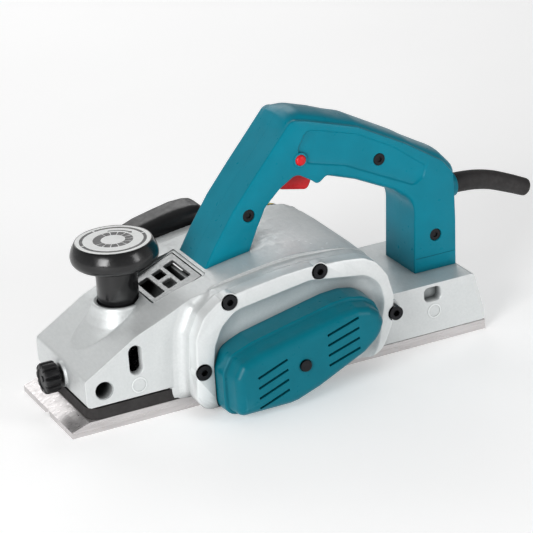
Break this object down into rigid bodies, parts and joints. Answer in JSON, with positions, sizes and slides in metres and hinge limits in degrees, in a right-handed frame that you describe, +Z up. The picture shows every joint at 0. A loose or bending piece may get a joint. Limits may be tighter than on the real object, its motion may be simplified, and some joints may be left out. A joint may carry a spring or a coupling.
{
  "type": "electric hand planer",
  "caption": "Corded hand planer with a belt-driven cutter drum, an adjustable front shoe under a depth knob, a closed side bracket and belt cover, and a loop handle.",
  "frame": {"origin": "on the sole plane, at mid-length of the 290 mm sole and mid-width of the cutter", "axes": "+X along the sole towards the tail and the cord, +Y towards the chip spout and the motor end, +Z up out of the sole"},
  "size_m": [0.3534, 0.1694, 0.168],
  "materials": {
    "cast_aluminium": "cast, lightly blasted",
    "machined_sole": "machined along its length",
    "black_steel": "black oxide",
    "bright_steel": "turned",
    "spring_steel": "drawn wire",
    "black_rubber": "matt",
    "black_plastic": "fine moulded grain",
    "white_dial": "printed disc",
    "grille_metal": "satin",
    "teal_plastic": "fine satin",
    "drum_metal": "machined",
    "iron_core": "varnished stack",
    "copper_brass": "bare",
    "fan_plastic": "moulded",
    "yellow_film": "plain film",
    "red_plastic": "gloss"
  },
  "bodies": {
    "root": {"main_frame": "cast_aluminium", "side_bracket": "cast_aluminium", "bracket_screws": "black_steel", "rear_base": "machined_sole", "rear_base_screws": "bright_steel", "depth_spring": "spring_steel", "grille_plate": "grille_metal", "belt_cover": "teal_plastic", "belt_cover_screw": "black_steel", "drive_belt": "black_rubber", "drum_bearings": "bright_steel", "motor_bearings": "bright_steel", "field_stack": "iron_core", "air_baffle": "black_plastic", "motor_housing": "black_plastic", "housing_screws": "black_steel", "brush_holders": "copper_brass", "carbon_brushes": "black_plastic", "brush_caps": "black_plastic", "yellow_label": "yellow_film", "chip_spout": "black_plastic", "spout_screws": "black_steel", "handle_left": "teal_plastic", "handle_right": "teal_plastic", "handle_screws": "black_steel", "handle_foot_screws": "bright_steel", "switch_body": "black_plastic", "switch_leads": "black_rubber", "trigger_pin": "bright_steel", "trigger_spring": "spring_steel", "lock_spring": "spring_steel", "cord_guard": "black_rubber", "cord_clamp": "bright_steel"},
    "shoe": {"front_base": "machined_sole", "rubber_skirt": "black_rubber", "depth_post": "bright_steel", "guide_pins": "bright_steel"},
    "knob": {"depth_knob": "black_plastic", "dial_plate": "white_dial", "knob_clip": "bright_steel"},
    "clamp_screw": {"thumb_screw": "black_plastic"},
    "drum": {"cutter_drum": "drum_metal", "cutter_blades": "bright_steel", "blade_clamps": "drum_metal", "blade_bolts": "black_steel", "drum_pulley": "drum_metal", "drum_nut": "bright_steel"},
    "armature": {"armature_shaft": "bright_steel", "armature_core": "iron_core", "commutator": "copper_brass", "cooling_fan": "fan_plastic", "motor_pulley": "drum_metal", "motor_nut": "bright_steel"},
    "trigger": {"trigger": "red_plastic"},
    "lock": {"lock_button": "red_plastic"}
  },
  "joints": [
    {"name": "knob_turn", "type": "hinge", "parent": "root", "child": "knob", "pos_m": [-0.091, 0, 0.06], "axis": [0, 0, -1], "range_deg": [0, 360]},
    {"name": "shoe_slide", "type": "slide", "parent": "root", "child": "shoe", "axis": [0, 0, 1], "range_m": [0, 0.001], "deforming": ["depth_spring"]},
    {"name": "clamp_turn", "type": "hinge", "parent": "root", "child": "clamp_screw", "pos_m": [-0.14, -0.0035, 0.0265], "axis": [1, 0, 0], "continuous": true},
    {"name": "drum_spin", "type": "hinge", "parent": "root", "child": "drum", "pos_m": [-0.028, 0, 0.027], "axis": [0, 1, 0], "continuous": true},
    {"name": "motor_spin", "type": "hinge", "parent": "root", "child": "armature", "pos_m": [0.033, 0, 0.0435], "axis": [0, 1, 0], "continuous": true},
    {"name": "trigger_press", "type": "hinge", "parent": "root", "child": "trigger", "pos_m": [0.024, 0, 0.128], "axis": [0, -1, 0], "range_deg": [0, 8], "stiffness_Nm_per_rad": 0.3, "springref_deg": -8.59, "deforming": ["trigger_spring"]},
    {"name": "lock_press", "type": "slide", "parent": "root", "child": "lock", "axis": [0, 1, 0], "range_m": [0, 0.003], "stiffness_N_per_m": 500, "springref_m": -0.004, "deforming": ["lock_spring"]}
  ],
  "couplings": [
    {"joint": "shoe_slide", "follows": "knob_turn", "m_per_rad": 0.00015915},
    {"joint": "motor_spin", "follows": "drum_spin", "ratio": 1.32}
  ]
}
